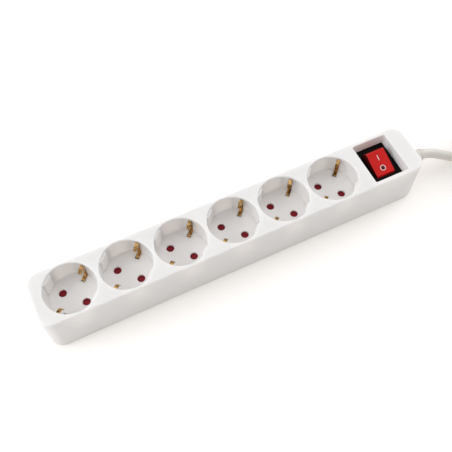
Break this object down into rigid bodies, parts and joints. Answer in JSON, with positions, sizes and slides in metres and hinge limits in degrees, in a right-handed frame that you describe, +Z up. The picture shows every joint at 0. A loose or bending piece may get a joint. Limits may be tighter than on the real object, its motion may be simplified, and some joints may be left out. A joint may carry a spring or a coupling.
{
  "type": "power strip",
  "caption": "Slim earthed power strip with a row of round sockets, a sunk rocker switch and a cord with an angled plug.",
  "frame": {"origin": "middle of the underside of the base plate, on the surface that the strip lies on", "axes": "+X along the strip towards the cord, +Y across it, +Z up out of the sockets"},
  "size_m": [0.6113, 0.0664, 0.052],
  "materials": {
    "housing_plastic": "satin",
    "base_plastic": "satin",
    "frame_plastic": "matte",
    "screw_steel": "zinc plated",
    "contact_brass": "bright",
    "spring_steel": "bright",
    "switch_black": "satin",
    "rocker_red": "gloss",
    "mark_white": "matte",
    "lamp_glass": "clear",
    "plunger_plastic": "matte",
    "terminal_tin": "tinned",
    "cord_pvc": "matte",
    "tie_black": "matte",
    "plug_pvc": "matte",
    "bridge_plastic": "matte",
    "pin_nickel": "nickel plated",
    "wire_brown": "satin",
    "wire_blue": "satin",
    "wire_earth": "satin",
    "shutter_red": "satin",
    "clip_bronze": "bright"
  },
  "bodies": {
    "housing": {"base_plate": "base_plastic", "blue_jumper": "wire_blue", "blue_lead": "wire_blue", "brown_jumper": "wire_brown", "brown_lead": "wire_brown", "cable_clamp": "frame_plastic", "cable_gland": "cord_pvc", "cable_tail": "cord_pvc", "clamp_screws": "screw_steel", "cord_end": "cord_pvc", "cord_hank": "cord_pvc", "cord_lead": "cord_pvc", "cord_tie": "tie_black", "earth_clip_1": "clip_bronze", "earth_clip_2": "clip_bronze", "earth_clip_3": "clip_bronze", "earth_clip_4": "clip_bronze", "earth_clip_5": "clip_bronze", "earth_clip_6": "clip_bronze", "earth_lead": "wire_earth", "earth_rail": "contact_brass", "housing_screws": "screw_steel", "inner_frame": "frame_plastic", "live_rail": "contact_brass", "neutral_rail": "contact_brass", "plug_body": "plug_pvc", "plug_bridge": "bridge_plastic", "plug_earth_strips": "contact_brass", "plug_pins": "pin_nickel", "shutter_springs": "spring_steel", "switch_frame": "switch_black", "switch_terminals": "terminal_tin", "top_cover": "housing_plastic"},
    "rocker": {"rocker": "rocker_red", "rocker_marks": "mark_white", "neon_lamp": "lamp_glass", "switch_plungers": "plunger_plastic", "plunger_springs": "spring_steel"},
    "seesaw_live": {"seesaw_live": "contact_brass"},
    "seesaw_neutral": {"seesaw_neutral": "contact_brass"},
    "shutter_1": {"shutter_1": "shutter_red"},
    "shutter_2": {"shutter_2": "shutter_red"},
    "shutter_3": {"shutter_3": "shutter_red"},
    "shutter_4": {"shutter_4": "shutter_red"},
    "shutter_5": {"shutter_5": "shutter_red"},
    "shutter_6": {"shutter_6": "shutter_red"}
  },
  "joints": [
    {"name": "rocker_tilt", "type": "hinge", "parent": "housing", "child": "rocker", "pos_m": [0.126, 0, 0.0322], "axis": [-1, 0, 0], "range_deg": [0, 34]},
    {"name": "seesaw_live_tilt", "type": "hinge", "parent": "housing", "child": "seesaw_live", "pos_m": [0.126, 0, 0.0176], "axis": [1, 0, 0], "range_deg": [0, 16]},
    {"name": "seesaw_neutral_tilt", "type": "hinge", "parent": "housing", "child": "seesaw_neutral", "pos_m": [0.126, 0, 0.0176], "axis": [1, 0, 0], "range_deg": [0, 16]},
    {"name": "shutter_1_turn", "type": "hinge", "parent": "housing", "child": "shutter_1", "pos_m": [-0.1275, 0, 0.0214], "axis": [0, 0, 1], "range_deg": [0, 42], "stiffness_Nm_per_rad": 0.0004, "springref_deg": -20.05},
    {"name": "shutter_2_turn", "type": "hinge", "parent": "housing", "child": "shutter_2", "pos_m": [-0.0853, 0, 0.0214], "axis": [0, 0, 1], "range_deg": [0, 42], "stiffness_Nm_per_rad": 0.0004, "springref_deg": -20.05},
    {"name": "shutter_3_turn", "type": "hinge", "parent": "housing", "child": "shutter_3", "pos_m": [-0.0431, 0, 0.0214], "axis": [0, 0, 1], "range_deg": [0, 42], "stiffness_Nm_per_rad": 0.0004, "springref_deg": -20.05},
    {"name": "shutter_4_turn", "type": "hinge", "parent": "housing", "child": "shutter_4", "pos_m": [-0.0009, 0, 0.0214], "axis": [0, 0, 1], "range_deg": [0, 42], "stiffness_Nm_per_rad": 0.0004, "springref_deg": -20.05},
    {"name": "shutter_5_turn", "type": "hinge", "parent": "housing", "child": "shutter_5", "pos_m": [0.0413, 0, 0.0214], "axis": [0, 0, 1], "range_deg": [0, 42], "stiffness_Nm_per_rad": 0.0004, "springref_deg": -20.05},
    {"name": "shutter_6_turn", "type": "hinge", "parent": "housing", "child": "shutter_6", "pos_m": [0.0835, 0, 0.0214], "axis": [0, 0, 1], "range_deg": [0, 42], "stiffness_Nm_per_rad": 0.0004, "springref_deg": -20.05}
  ],
  "couplings": [
    {"joint": "seesaw_live_tilt", "follows": "rocker_tilt", "ratio": 0.4705},
    {"joint": "seesaw_neutral_tilt", "follows": "rocker_tilt", "ratio": 0.4705}
  ]
}
